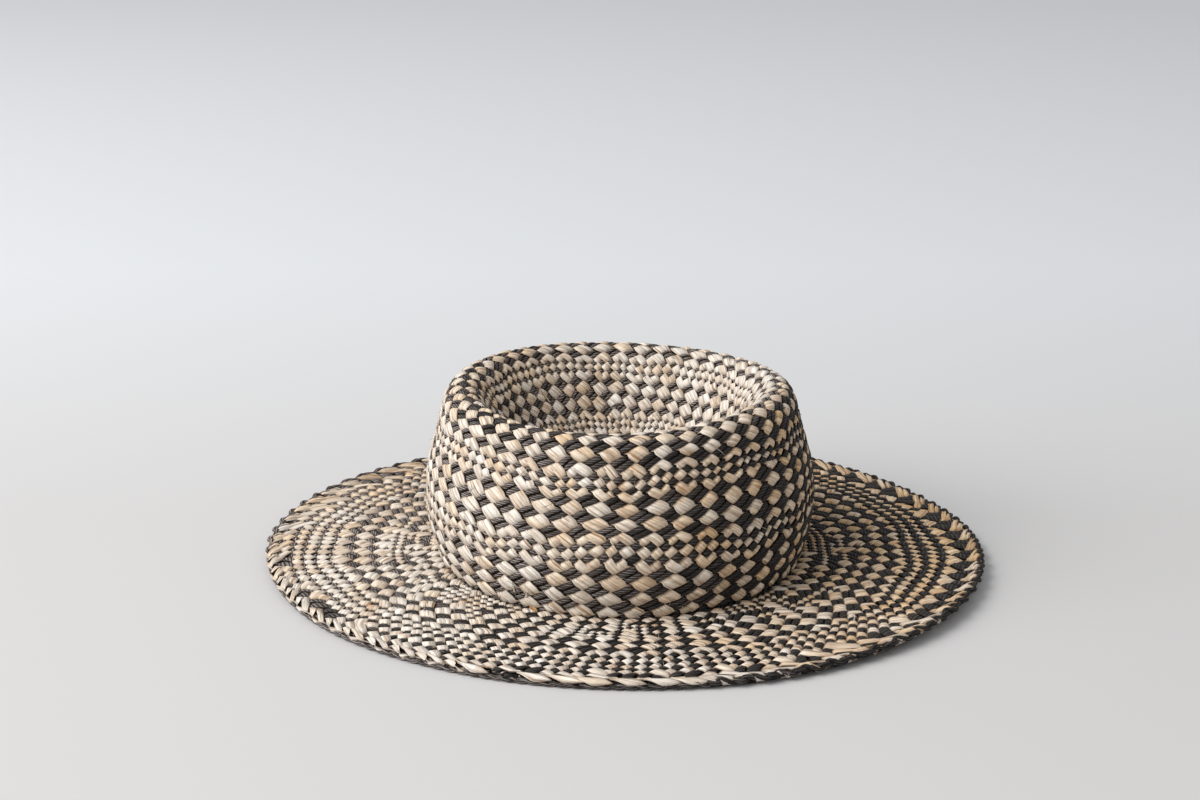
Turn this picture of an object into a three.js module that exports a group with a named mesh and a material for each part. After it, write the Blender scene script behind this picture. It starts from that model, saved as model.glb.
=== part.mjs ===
import * as THREE from 'three';

// A wide-brimmed straw hat with a pressed-in crown.
// Millimetres, +Z up. The hat stands on its brim's edge, on the table at height 0.
// +X is along its longest extent, and the origin is on the table under the middle of the brim.

// Driving sizes

const STRAW_WALL = 2.3; // thickness of the plaited straw
const GAP = 0.3; // clearance between neighbouring pieces
const STEPS_ROUND = 84; // facets round the hat

// The crown's level sections are ovals, which shift and change their width from foot to rim.
const CROWN_TURN = THREE.MathUtils.degToRad(6); // the ovals' axis against +X
const FOOT_HEIGHT = 5.6;
const FOOT_CENTRE = new THREE.Vector2(-1.7, -3.4);
const FOOT_WIDTH = 1.04; // width of the foot's oval over its length
const RIM_HEIGHT = 92.2;
const RIM_CENTRE = new THREE.Vector2(-2.1, -1.7);
const RIM_WIDTH = 0.99;
const RIM_WAVE = 1.7; // the rim rises and falls by this much, twice round the hat
const RIM_WAVE_PEAK = THREE.MathUtils.degToRad(-29);

// The rolled lip between the side wall and the hollow on top
const LIP_RADIUS = 10;
const LIP_REACH = 79.6; // from the crown's axis to the middle of the lip's arc
const LIP_OUTER_ANGLE = THREE.MathUtils.degToRad(12); // where the side wall takes over
const LIP_INNER_ANGLE = THREE.MathUtils.degToRad(140); // where the hollow takes over

// The hollow on top, from its floor up to the lip
const HOLLOW_ROWS = [
  { place: 'middle of the floor', reach: 0, height: 45 },
  { place: 'floor', reach: 30, height: 46.6 },
  { place: 'round of the floor', reach: 42, height: 50.6 },
  { place: 'foot of the slope', reach: 52, height: 58.6 },
  { place: 'slope', reach: 60, height: 70.6 },
  { place: 'top of the slope', reach: 66.5, height: 81.6 },
];

// The side wall's outer face, from the lip down to the foot
const SIDE_ROWS = [
  { place: 'shoulder', reach: 93.2, height: 70 },
  { place: 'upper side', reach: 97.4, height: 55 },
  { place: 'belly', reach: 99.5, height: 39 },
  { place: 'lower side', reach: 98, height: 23 },
  { place: 'foot', reach: 93.2, height: FOOT_HEIGHT },
];

// The brim's edge every 30 degrees, counted from +X towards +Y.
// Reach runs from the origin to the middle of the edge roll.
// Lift is the height of its underside, and where it is below 0 the edge lies flat on the table.
const EDGE_STATIONS = [
  { angle: 0, reach: 182, lift: 2 },
  { angle: 30, reach: 176.5, lift: -0.5 },
  { angle: 60, reach: 169.5, lift: 1.1 },
  { angle: 90, reach: 167, lift: 0.9 },
  { angle: 120, reach: 171.5, lift: -0.5 },
  { angle: 150, reach: 179, lift: 0.9 },
  { angle: 180, reach: 182, lift: 1.9 },
  { angle: 210, reach: 176, lift: 0.8 },
  { angle: 240, reach: 168.5, lift: 0.3 },
  { angle: 270, reach: 167, lift: -0.4 },
  { angle: 300, reach: 173, lift: 0.5 },
  { angle: 330, reach: 180.5, lift: 3.4 },
];

// The plaited roll that ends the brim, a rounded rectangle in section
const EDGE_WIDTH = 5.6;
const EDGE_HEIGHT = 5.2;
const EDGE_CORNER = 1.9;

// Ways that the crown's section runs, as reach and height
const OUTWARD = new THREE.Vector2(1, 0);
const DOWNWARD = new THREE.Vector2(0, -1);
const WAY_AT_SHOULDER = new THREE.Vector2(Math.sin(LIP_OUTER_ANGLE), -Math.cos(LIP_OUTER_ANGLE));

// How finely each face is stepped
const HOLLOW_STEPS = 8;
const LIP_STEPS = 6;
const SIDE_STEPS = 8;
const BRIM_STEPS = 5;
const CORNER_STEPS = 2;

const STRAW_COLOUR = 0x9a8f80; // natural and charcoal strands, seen together
const EDGE_COLOUR = 0x6b635b;

// Points of the hat

// A point on the crown's oval of the given reach at a height, at an angle round the hat.
function crownPoint(reach, height, angle) {
  const rise = height / RIM_HEIGHT;
  const width = THREE.MathUtils.lerp(FOOT_WIDTH, RIM_WIDTH, rise);
  const ownAngle = angle - CROWN_TURN;
  const point = new THREE.Vector2(reach * Math.cos(ownAngle), reach * width * Math.sin(ownAngle));
  point.rotateAround(new THREE.Vector2(0, 0), CROWN_TURN);
  point.add(FOOT_CENTRE.clone().lerp(RIM_CENTRE, rise));
  const swing = RIM_WAVE * rise * Math.min(1, reach / LIP_REACH);
  const wave = swing * Math.cos(2 * (ownAngle - RIM_WAVE_PEAK));
  return new THREE.Vector3(point.x, point.y, height + wave);
}

// A value of the edge's stations at any angle, by a smooth curve through them.
function edgeValue(angle, column) {
  const count = EDGE_STATIONS.length;
  const place = ((angle / (2 * Math.PI)) * count + count) % count;
  const index = Math.floor(place);
  const along = place - index;
  const [before, start, end, after] = [-1, 0, 1, 2].map(
    (step) => EDGE_STATIONS[(index + step + count) % count][column]
  );
  const slopeIn = (end - before) / 2;
  const slopeOut = (after - start) / 2;
  const bend = 3 * (end - start) - 2 * slopeIn - slopeOut;
  const twist = 2 * (start - end) + slopeIn + slopeOut;
  return start + along * (slopeIn + along * (bend + along * twist));
}

// The middle of the edge roll at an angle round the hat.
function edgePoint(angle) {
  const reach = edgeValue(angle, 'reach');
  const lift = Math.max(0, edgeValue(angle, 'lift'));
  return new THREE.Vector3(reach * Math.cos(angle), reach * Math.sin(angle), lift + EDGE_HEIGHT / 2);
}

// A point of the brim: out runs from 0 at the head opening to 1 at the edge roll,
// and level is the height above the middle of the sheet.
function brimPoint(out, level, angle) {
  const inner = crownPoint(SIDE_ROWS.at(-1).reach - STRAW_WALL, FOOT_HEIGHT, angle);
  inner.z = FOOT_HEIGHT - GAP - STRAW_WALL / 2;
  const outer = edgePoint(angle);
  const inset = EDGE_WIDTH / 2 + GAP;
  outer.x -= inset * Math.cos(angle);
  outer.y -= inset * Math.sin(angle);
  const point = inner.clone().lerp(outer, out);
  point.z = THREE.MathUtils.lerp(inner.z, outer.z, out * out) + level;
  return point;
}

// Lines in section

// The line moved sideways by a distance, to the right of the way it runs.
// Its ways at both ends are given, so that neighbouring pieces meet face to face.
function offsetLine(line, distance, startWay, endWay) {
  return line.map((point, index) => {
    let way;
    if (index === 0) way = startWay;
    else if (index === line.length - 1) way = endWay;
    else way = line[index + 1].clone().sub(line[index - 1]).normalize();
    return new THREE.Vector2(point.x + way.y * distance, point.y - way.x * distance);
  });
}

function rowsToPoints(rows) {
  return rows.map((row) => new THREE.Vector2(row.reach, row.height));
}

function lipPoint(angle) {
  const middle = RIM_HEIGHT - LIP_RADIUS;
  return new THREE.Vector2(
    LIP_REACH + LIP_RADIUS * Math.cos(angle),
    middle + LIP_RADIUS * Math.sin(angle)
  );
}

// The tip's outer face: the hollow's slope from the middle out, then the lip's arc.
function tipLine() {
  const hollow = new THREE.SplineCurve([...rowsToPoints(HOLLOW_ROWS), lipPoint(LIP_INNER_ANGLE)]);
  const line = hollow.getPoints(HOLLOW_STEPS);
  for (let step = 1; step <= LIP_STEPS; step++) {
    line.push(lipPoint(THREE.MathUtils.lerp(LIP_INNER_ANGLE, LIP_OUTER_ANGLE, step / LIP_STEPS)));
  }
  return line;
}

// The side wall's outer face, from just under the lip down to the foot.
function sideLine() {
  const top = lipPoint(LIP_OUTER_ANGLE).addScaledVector(WAY_AT_SHOULDER, GAP);
  return new THREE.SplineCurve([top, ...rowsToPoints(SIDE_ROWS)]).getPoints(SIDE_STEPS);
}

// The edge roll's section round its middle, from the top outwards and down.
function edgeSection() {
  const across = EDGE_WIDTH / 2 - EDGE_CORNER;
  const up = EDGE_HEIGHT / 2 - EDGE_CORNER;
  const corners = [
    { x: across, y: up },
    { x: across, y: -up },
    { x: -across, y: -up },
    { x: -across, y: up },
  ];
  return corners.flatMap((corner, quarter) =>
    Array.from({ length: CORNER_STEPS + 1 }, (_, step) => {
      const angle = Math.PI / 2 - (quarter + step / CORNER_STEPS) * (Math.PI / 2);
      return new THREE.Vector2(
        corner.x + EDGE_CORNER * Math.cos(angle),
        corner.y + EDGE_CORNER * Math.sin(angle)
      );
    })
  );
}

// Solids

// A closed solid that carries a line round the hat. The line runs with the solid on its right,
// seen with the hat's axis to the left, and is closed, or else starts and ends on the axis.
function carryRound(line, place, endsOnAxis) {
  const positions = [];
  const rings = line.map((item, row) => {
    const onAxis = endsOnAxis && (row === 0 || row === line.length - 1);
    const count = onAxis ? 1 : STEPS_ROUND;
    const first = positions.length / 3;
    for (let step = 0; step < count; step++) {
      positions.push(...place(item, (2 * Math.PI * step) / STEPS_ROUND).toArray());
    }
    return Array.from({ length: STEPS_ROUND }, (_, step) => first + (step % count));
  });
  const triangles = [];
  const bands = endsOnAxis ? rings.length - 1 : rings.length;
  for (let band = 0; band < bands; band++) {
    const near = rings[band];
    const far = rings[(band + 1) % rings.length];
    for (let step = 0; step < STEPS_ROUND; step++) {
      const next = (step + 1) % STEPS_ROUND;
      if (far[step] !== far[next]) triangles.push(near[step], far[step], far[next]);
      if (near[step] !== near[next]) triangles.push(near[step], far[next], near[next]);
    }
  }
  const geometry = new THREE.BufferGeometry();
  geometry.setAttribute('position', new THREE.Float32BufferAttribute(positions, 3));
  geometry.setIndex(triangles);
  geometry.computeVertexNormals();
  return geometry;
}

const onCrown = (point, angle) => crownPoint(point.x, point.y, angle);

// The pressed-in top with its rolled lip.
function crownTipGeometry() {
  const outer = tipLine();
  const inner = offsetLine(outer, STRAW_WALL, OUTWARD, WAY_AT_SHOULDER);
  return carryRound([...outer, ...inner.reverse()], onCrown, true);
}

// The barrel-shaped side wall, open above and below.
function crownSideGeometry() {
  const outer = sideLine();
  const inner = offsetLine(outer, STRAW_WALL, WAY_AT_SHOULDER, DOWNWARD);
  return carryRound([...outer, ...inner.reverse()], onCrown, false);
}

// The brim, a sheet from the head opening to the edge roll.
function brimGeometry() {
  const top = Array.from({ length: BRIM_STEPS + 1 }, (_, step) => ({
    out: step / BRIM_STEPS,
    level: STRAW_WALL / 2,
  }));
  const underside = top.map((item) => ({ out: item.out, level: -item.level })).reverse();
  const place = (item, angle) => brimPoint(item.out, item.level, angle);
  return carryRound([...top, ...underside], place, false);
}

// The plaited roll round the brim.
function brimEdgeGeometry() {
  const place = (point, angle) => {
    const along = new THREE.Vector3(Math.cos(angle) * point.x, Math.sin(angle) * point.x, point.y);
    return edgePoint(angle).add(along);
  };
  return carryRound(edgeSection(), place, false);
}

// The hat

function straw(colour) {
  return new THREE.MeshStandardMaterial({ color: colour, roughness: 0.8, metalness: 0 });
}

function piece(name, geometry, colour) {
  const mesh = new THREE.Mesh(geometry, straw(colour));
  mesh.name = name;
  return mesh;
}

const hat = new THREE.Group();
hat.add(piece('crown_tip', crownTipGeometry(), STRAW_COLOUR));
hat.add(piece('crown_side', crownSideGeometry(), STRAW_COLOUR));
hat.add(piece('brim', brimGeometry(), STRAW_COLOUR));
hat.add(piece('brim_edge', brimEdgeGeometry(), EDGE_COLOUR));

export default hat;
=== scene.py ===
# %% [markdown]
# # A plaited straw hat
# The real hat is a single piece of plaiting. Natural strands and charcoal strands run slantwise round
# the head, in opposite ways, and pass over and under each other from the middle of the crown to the brim.
# A bump texture on a plain surface could show that from afar, but its edges would be smooth.
# So every strand is made here as a thin ribbon that really goes over and under.

# %% Open the frame
import math

import bpy
import numpy as np
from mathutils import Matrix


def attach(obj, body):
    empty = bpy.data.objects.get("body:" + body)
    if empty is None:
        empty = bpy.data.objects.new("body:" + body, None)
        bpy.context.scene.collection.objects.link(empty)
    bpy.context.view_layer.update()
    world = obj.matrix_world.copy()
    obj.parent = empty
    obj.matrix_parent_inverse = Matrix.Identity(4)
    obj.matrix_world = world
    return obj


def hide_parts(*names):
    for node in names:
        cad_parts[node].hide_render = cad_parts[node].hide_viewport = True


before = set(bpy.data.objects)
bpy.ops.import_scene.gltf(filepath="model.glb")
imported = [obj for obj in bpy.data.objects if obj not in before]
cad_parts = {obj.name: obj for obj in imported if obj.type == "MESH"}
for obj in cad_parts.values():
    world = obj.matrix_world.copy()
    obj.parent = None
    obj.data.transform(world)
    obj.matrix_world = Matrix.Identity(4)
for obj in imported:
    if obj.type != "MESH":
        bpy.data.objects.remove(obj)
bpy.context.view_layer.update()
print("CAD nodes:", sorted(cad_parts))

# %% [markdown]
# ## The table, the light and the camera
# The hat lies on a pale table beside a window. The window is to the left and a little nearer than the hat,
# so the hat's left side is bright and its right side is dark.
# The table is clear where it is seen from below, so that the hat's underside shows, in the table's shade.
# The camera looks down at 17.6 degrees. Its lens was worked out from the brim's oval and the crown's sides.

# %% Table
MM = 0.001
TABLE_HALF = 3.0
NEAR_TONE = (0.59, 0.587, 0.59, 1)
FAR_TONE = (0.69, 0.715, 0.745, 1)
TONE_DEPTHS = (0.05, 0.6)  # metres behind the hat's middle where the change of tone starts and ends


def table_finish():
    """Matt paint, warm grey near the camera and cooler behind, clear where seen from below."""
    material = bpy.data.materials.new("painted table")
    material.use_nodes = True
    nodes = material.node_tree.nodes
    links = material.node_tree.links
    shader = nodes["Principled BSDF"]
    place = nodes.new("ShaderNodeTexCoord")
    parts = nodes.new("ShaderNodeSeparateXYZ")
    depth = nodes.new("ShaderNodeMapRange")
    depth.inputs["From Min"].default_value = TONE_DEPTHS[0]
    depth.inputs["From Max"].default_value = TONE_DEPTHS[1]
    tone = nodes.new("ShaderNodeMix")
    tone.data_type = "RGBA"
    tone.inputs[6].default_value = NEAR_TONE
    tone.inputs[7].default_value = FAR_TONE
    geometry = nodes.new("ShaderNodeNewGeometry")
    clear = nodes.new("ShaderNodeBsdfTransparent")
    choice = nodes.new("ShaderNodeMixShader")
    links.new(place.outputs["Object"], parts.inputs["Vector"])
    links.new(parts.outputs["Y"], depth.inputs["Value"])
    links.new(depth.outputs["Result"], tone.inputs[0])
    links.new(tone.outputs[2], shader.inputs["Base Color"])
    links.new(geometry.outputs["Backfacing"], choice.inputs["Fac"])
    links.new(shader.outputs["BSDF"], choice.inputs[1])
    links.new(clear.outputs["BSDF"], choice.inputs[2])
    links.new(choice.outputs["Shader"], nodes["Material Output"].inputs["Surface"])
    shader.inputs["Roughness"].default_value = 0.8
    return material


def table_top(half):
    """A flat square at height 0, as four corners in one face."""
    corners = [(-half, -half, 0), (half, -half, 0), (half, half, 0), (-half, half, 0)]
    mesh = bpy.data.meshes.new("table")
    mesh.from_pydata(corners, [], [(0, 1, 2, 3)])
    table = bpy.data.objects.new("table", mesh)
    bpy.context.collection.objects.link(table)
    table.data.materials.append(table_finish())
    return table


table = table_top(TABLE_HALF)
print("table made, metres across:", 2 * TABLE_HALF)

# %% Light
world = bpy.data.worlds.new("pale room")
bpy.context.scene.world = world
world.use_nodes = True
room = world.node_tree.nodes["Background"]
room.inputs["Color"].default_value = (0.965, 0.965, 0.97, 1)
room.inputs["Strength"].default_value = 0.53
bpy.context.scene.view_settings.view_transform = "Standard"


def lamp(name, place, aim, size, power, colour):
    """A square area lamp at a place, turned to face the aim."""
    light = bpy.data.lights.new(name, "AREA")
    light.size = size
    light.energy = power
    light.color = colour
    holder = bpy.data.objects.new(name, light)
    bpy.context.collection.objects.link(holder)
    way = np.array(aim) - np.array(place)
    reach = float(np.hypot(way[0], way[1]))
    holder.location = place
    holder.rotation_euler = (math.atan2(reach, -way[2]), 0, math.atan2(way[1], way[0]) - math.pi / 2)
    return holder


window = lamp("window", place=(-2.65, -0.9, 2.35), aim=(0, 0, 0.03), size=3.0, power=162,
              colour=(1.0, 0.985, 0.965))
print("window lamp at", [round(value, 2) for value in window.location])

# %% Camera
CAMERA_TILT = 17.605  # degrees down from level
CAMERA_LENS = 64.29
SENSOR_WIDTH = 36
CAMERA_PLACE = (-12.16 * MM, -1044.27 * MM, 414.55 * MM)

camera_data = bpy.data.cameras.new("camera")
camera_data.sensor_width = SENSOR_WIDTH
camera_data.lens = CAMERA_LENS
camera = bpy.data.objects.new("camera", camera_data)
bpy.context.collection.objects.link(camera)
camera.location = CAMERA_PLACE
camera.rotation_euler = (math.radians(90 - CAMERA_TILT), 0, 0)
bpy.context.scene.camera = camera
print("camera at", [round(value, 3) for value in camera.location])

# %% [markdown]
# ## The crown's shape
# The crown is a barrel with a rolled lip and a pressed-in top. In section it is one line, from the head
# opening up the side, over the lip and down to the middle of the hollow.
# The sizes are the solid model's own, in metres, so that the plaiting lies where the solid straw does.
# The plaiting's middle runs half the straw's thickness inside that line.

# %% The crown's section
STRAW_WALL = 2.3 * MM
RIM_HEIGHT = 92.2 * MM
LIP_RADIUS = 10 * MM
LIP_REACH = 79.6 * MM
LIP_ANGLES = (math.radians(12), math.radians(140))
SIDE_ROWS = np.array([(93.2, 5.6), (98, 23), (99.5, 39), (97.4, 55), (93.2, 70)]) * MM
HOLLOW_ROWS = np.array([(66.5, 81.6), (60, 70.6), (52, 58.6), (42, 50.6), (30, 46.6), (0, 45)]) * MM
LINE_STEPS = 240
LIP_POINTS = 80


def cubic(before, start, end, after, along):
    """A value between start and end. It follows a cubic whose slope at each of the two is half of the
    way from the value before it to the value after it."""
    slope_in = (end - before) / 2
    slope_out = (after - start) / 2
    bend = 3 * (end - start) - 2 * slope_in - slope_out
    twist = 2 * (start - end) + slope_in + slope_out
    return start + along * (slope_in + along * (bend + along * twist))


def smooth_line(rows, steps):
    """Points of a smooth curve through the rows, with a cubic between each two."""
    ends = np.vstack([rows[:1], rows, rows[-1:]])
    place = np.linspace(0, len(rows) - 1, steps + 1)
    index = np.minimum(place.astype(int), len(rows) - 2)
    near = [ends[index + step] for step in range(4)]
    return cubic(*near, (place - index)[:, None])


def lengths_along(line):
    """The length from a line's start to each of its points."""
    return np.concatenate([[0], np.cumsum(np.linalg.norm(np.diff(line, axis=0), axis=1))])


def lip_point(angle):
    """A point of the lip's round: the arc's middle plus its radius at that angle."""
    angle = np.asarray(angle, float)
    reach = LIP_REACH + LIP_RADIUS * np.cos(angle)
    height = RIM_HEIGHT - LIP_RADIUS + LIP_RADIUS * np.sin(angle)
    return np.stack([reach, height], axis=-1)


side_part = smooth_line(np.vstack([SIDE_ROWS, lip_point(LIP_ANGLES[0])[None]]), LINE_STEPS)
lip_part = lip_point(np.linspace(*LIP_ANGLES, LIP_POINTS))
hollow_part = smooth_line(np.vstack([lip_point(LIP_ANGLES[1])[None], HOLLOW_ROWS]), LINE_STEPS)
crown_line = np.vstack([side_part, lip_part[1:], hollow_part[1:]])
line_length = lengths_along(crown_line)
print("crown section length in mm:", round(line_length[-1] / MM, 1))
print("side wall length in mm:", round(line_length[LINE_STEPS] / MM, 1))

# %% The crown's surface
CROWN_TURN = math.radians(6)
FOOT_CENTRE = np.array([-1.7, -3.4]) * MM
RIM_CENTRE = np.array([-2.1, -1.7]) * MM
FOOT_WIDTH = 1.04
RIM_WIDTH = 0.99
RIM_WAVE = 1.7 * MM
RIM_WAVE_PEAK = math.radians(-29)


def crown_point(reach, height, angle):
    """A point on the crown's oval at a height. The oval's width over its length and its middle change
    evenly with height, and the rim rises and falls twice round the hat."""
    rise = height / RIM_HEIGHT
    width = FOOT_WIDTH + (RIM_WIDTH - FOOT_WIDTH) * rise
    own = angle - CROWN_TURN
    long_way = reach * np.cos(own)
    short_way = reach * width * np.sin(own)
    x = long_way * math.cos(CROWN_TURN) - short_way * math.sin(CROWN_TURN)
    y = long_way * math.sin(CROWN_TURN) + short_way * math.cos(CROWN_TURN)
    x = x + FOOT_CENTRE[0] + (RIM_CENTRE[0] - FOOT_CENTRE[0]) * rise
    y = y + FOOT_CENTRE[1] + (RIM_CENTRE[1] - FOOT_CENTRE[1]) * rise
    swing = RIM_WAVE * rise * np.minimum(1, reach / LIP_REACH)
    return np.stack([x, y, height + swing * np.cos(2 * (own - RIM_WAVE_PEAK))], axis=-1)


line_way = np.gradient(crown_line, axis=0)
line_way = line_way / np.linalg.norm(line_way, axis=1, keepdims=True)
outward = np.stack([line_way[:, 1], -line_way[:, 0]], axis=1)
middle_line = crown_line - outward * STRAW_WALL / 2


def crown_at(length, angle):
    """The middle of the crown's straw, at a length along the section from the foot and an angle."""
    reach = np.interp(length, line_length, middle_line[:, 0])
    height = np.interp(length, line_length, middle_line[:, 1])
    return crown_point(np.maximum(reach, 0), height, angle)


lip_top = crown_at(line_length[LINE_STEPS + LIP_POINTS // 2], np.array([0.0]))
print("a point on the lip in mm:", np.round(lip_top / MM, 1).tolist())

# %% [markdown]
# ## The brim's shape
# The brim is nearly flat. Its edge is an oval that has been bent a little in use, so it is given by its
# reach and its lift every 30 degrees, from the right round by the back, with a smooth curve between.
# The sheet runs from the head opening to that edge, and drops or rises towards it in a gentle curve.

# %% The brim's surface
FOOT_HEIGHT = 5.6 * MM
GAP = 0.3 * MM
EDGE_WIDTH = 5.6 * MM
EDGE_HEIGHT = 5.2 * MM
EDGE_REACHES = np.array([182, 176.5, 169.5, 167, 171.5, 179, 182, 176, 168.5, 167, 173, 180.5]) * MM
EDGE_LIFTS = np.array([2, -0.5, 1.1, 0.9, -0.5, 0.9, 1.9, 0.8, 0.3, -0.4, 0.5, 3.4]) * MM


def round_value(values, angle):
    """A value between values that are evenly spaced round the hat, by cubics in a closed ring."""
    place = np.mod(np.asarray(angle, float) / (2 * np.pi) * len(values), len(values))
    index = np.minimum(place.astype(int), len(values) - 1)
    near = [values[(index + step) % len(values)] for step in (-1, 0, 1, 2)]
    return cubic(*near, place - index)


def edge_point(angle, inset=0.0):
    """The middle of the edge roll, or a point moved in from it by the inset."""
    reach = round_value(EDGE_REACHES, angle) - inset
    height = np.maximum(0, round_value(EDGE_LIFTS, angle)) + EDGE_HEIGHT / 2
    return np.stack([reach * np.cos(angle), reach * np.sin(angle), height], axis=-1)


def brim_at(out, angle):
    """The middle of the brim's straw: out is 0 at the head opening and 1 beside the edge roll. It goes
    straight outwards, and its height changes with the square of out."""
    inner = crown_point(SIDE_ROWS[0, 0] - STRAW_WALL, FOOT_HEIGHT, angle)
    outer = edge_point(angle, EDGE_WIDTH / 2 + GAP)
    point = inner + (outer - inner) * out[..., None]
    low = FOOT_HEIGHT - GAP - STRAW_WALL / 2
    point[..., 2] = low + (outer[..., 2] - low) * out**2
    return point


# The strands' curl round the edge: how far out and up from the middle of the solid model's roll
CURL_ROWS = np.array([(-3.1, 0), (-1.4, 0.75), (0.2, 1.05), (1.35, 0.6), (1.25, -0.2), (0.2, -0.55)]) * MM
CURL_STEPS = 60
curl_line = smooth_line(CURL_ROWS, CURL_STEPS)
curl_length = lengths_along(curl_line)
print("curl round the edge, in mm:", round(curl_length[-1] / MM, 1))
front = brim_at(np.array([0.0, 1.0]), np.full(2, 1.5 * np.pi))
print("brim from head opening to edge roll at the front, in mm:", np.round(front / MM, 1).tolist())

# %% [markdown]
# ## The plait's rows
# The plaiting is on the bias. Where two strands cross is counted in rows: row 0 is at the crown's foot,
# and each crossing along a strand is one row further up. In most rows the strands run in pairs, two over
# two, which shows as large lozenges. In the fine bands the pairs part and pass one over one.
# A table gives the place of each measured row, and a short average makes the change of spacing smooth.
# On the side that faces the window the natural lozenges look larger, and opposite it the charcoal ones do.

# %% Rows of the crown and the brim
CROWN_ROWS = [
    # row, mm up the section from the foot
    (-4, -6.5), (0, 3), (4, 11), (8, 20), (12, 28.5), (14, 35), (16, 41), (20, 48.5), (24, 56.5),
    (28, 64.5), (30, 69), (32, 74.5), (36, 82), (40, 90), (44, 98.5), (48, 105.5), (50, 110.5),
    (52, 116), (56, 123), (60, 131), (64, 138.5), (66, 143), (68, 147.5), (74, 160), (82, 177),
    (90, 187), (98, 195.5),
]
BRIM_ROWS = [
    # row, mm out from the crown's foot
    (4, -7), (0, 3), (-2, 7), (-4, 11.5), (-6, 16), (-8, 21), (-12, 30), (-16, 39), (-20, 48.5),
    (-22, 55.5), (-24, 62.5), (-26, 69.5), (-28, 76), (-30, 83.5), (-32, 89), (-36, 97),
]
BRIM_SPAN = 80 * MM  # from the crown's foot to the edge, along the rows' measure


def facing_window(angle, outside=1.0, window=205):
    """How far the straw at an angle faces the window, which stands at its own angle in degrees. Outside
    is 1 on the wall and the brim, where this goes from 1 on the window's side to -0.7 opposite it.
    Outside is -1 in the hollow, where it goes from 0.3 on the window's side to 1.2 opposite it."""
    turned = np.cos(angle - math.radians(window)) * outside
    return 0.45 - 0.30 * outside + (0.65 + 0.20 * outside) * turned


def wall_sizes(angle, outside):
    """How much larger the natural lozenges are than the charcoal ones: the facing, less a quarter."""
    return facing_window(angle, outside) - 0.25


def brim_sizes(angle, outside):
    """The same on the brim, where outside makes no difference. The cube keeps both colours equally
    large along the front and the back."""
    return 0.65 * np.cos(angle - math.radians(200)) ** 3 - 0.05


# strands of each colour; bands: the rows that are fine all round; mixed: rows that are fine here and
# there, and how much likelier that is at the left; change: the row below which the colours change over;
# turn: the row where the straw turns into the hollow; then the angles in degrees where painted light
# makes the natural straw palest and where the charcoal's painted sheen is brightest; blunt: how far the
# lozenges' tips are taken off
CROWN_PLAIT = {"strands": 88, "bands": [(13, 15), (29, 31), (49, 51), (65, 67)], "mixed": [],
               "change": -100, "turn": 40, "painted_pale_angle": 205, "painted_sheen_angle": 205, "sizes": wall_sizes, "blunt": 0.5}
BRIM_PLAIT = {"strands": 144, "bands": [(-25, -21)], "mixed": [(-28, -26, 0.9), (-10, 0, 0)],
              "change": -25, "turn": 100, "painted_pale_angle": 225, "painted_sheen_angle": 160, "sizes": brim_sizes, "blunt": 0.2}


def row_place(row, table):
    """The place of a row: the mean of the table's straight lines over a row and a half each way."""
    table = np.array(sorted(table), float)
    shifts = np.linspace(-1.5, 1.5, 7)
    places = [np.interp(row + shift, table[:, 0], table[:, 1]) for shift in shifts]
    return np.mean(places, axis=0) * MM


print("row 36 of the crown is", round(float(row_place(36, CROWN_ROWS)) / MM, 1), "mm up the section")

# %% [markdown]
# ## A hand's unevenness
# No row of the real hat is quite level and no two lozenges are the same size. A drift moves the whole
# plait, both colours together, so that the strands still cross where they should.
# It is a sum of slow waves round the hat, with seeded sizes and phases, and it closes on itself.

# %% Drift of the plait
SEED = 7
random = np.random.default_rng(SEED)


def waves_table(low, high, count, size):
    """Waves as rows of: times round the hat, change of phase per row, phase, size."""
    times = random.integers(low, high, count)
    return np.stack([times, random.uniform(-0.45, 0.45, count), random.uniform(0, 6.28, count),
                     size * random.uniform(0.5, 1.5, count)], axis=1)


def waves(table, row, angle):
    """The sum of size * sin(times * angle + change * row + phase) over the table."""
    return sum(size * np.sin(times * angle + change * row + phase) for times, change, phase, size in table)


ROW_WAVES = np.vstack([waves_table(1, 6, 4, 0.22), waves_table(6, 22, 8, 0.10)])
ROUND_WAVES = np.vstack([waves_table(2, 9, 4, 0.004), waves_table(14, 44, 10, 0.0014)])
MIX_WAVES = np.vstack([waves_table(2, 9, 4, 0.4), waves_table(20, 60, 8, 0.3)])
SWEEP_ROW = -27  # where the brim's strands start to turn aside


def on_crown(row, angle):
    """The crown's middle surface at a row, with the drift, which dies away over the last 30 rows before
    the middle of the hollow."""
    calm = np.clip((CROWN_ROWS[-1][0] - row) / 30, 0, 1)
    drifted = row + calm * waves(ROW_WAVES, row, angle)
    return crown_at(row_place(drifted, CROWN_ROWS), angle + waves(ROUND_WAVES, row, angle))


def on_brim(row, angle):
    """The brim's middle surface at a row. The drift dies away at the crown's foot and near the edge. The
    strands are a little closer at the wide left and right sides. In the last rows they sweep along the
    edge, by the power 1.5 of the rows past the start of the sweep, and curl round it."""
    calm = np.clip((row + 30) / 6, 0, 1) * np.clip((2 - row) / 4, 0, 1)
    place = row_place(row + calm * waves(ROW_WAVES, row, angle), BRIM_ROWS)
    sweep = 0.010 * np.maximum(0, SWEEP_ROW - row) ** 1.5
    angle = angle - 0.02 * np.sin(2 * angle) + 0.8 * waves(ROUND_WAVES, row, angle) + sweep
    point = brim_at(np.minimum(1, (place + STRAW_WALL) / (BRIM_SPAN + STRAW_WALL)), angle)
    past = place - BRIM_SPAN
    outset = np.interp(past, curl_length, curl_line[:, 0]) - CURL_ROWS[0, 0]
    rise = np.interp(past, curl_length, curl_line[:, 1])
    return point + np.stack([outset * np.cos(angle), outset * np.sin(angle), rise], axis=-1)


print("drift at row 20, in rows:", waves(ROW_WAVES, 20, np.linspace(0, 6, 5)).round(2).tolist())

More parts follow.
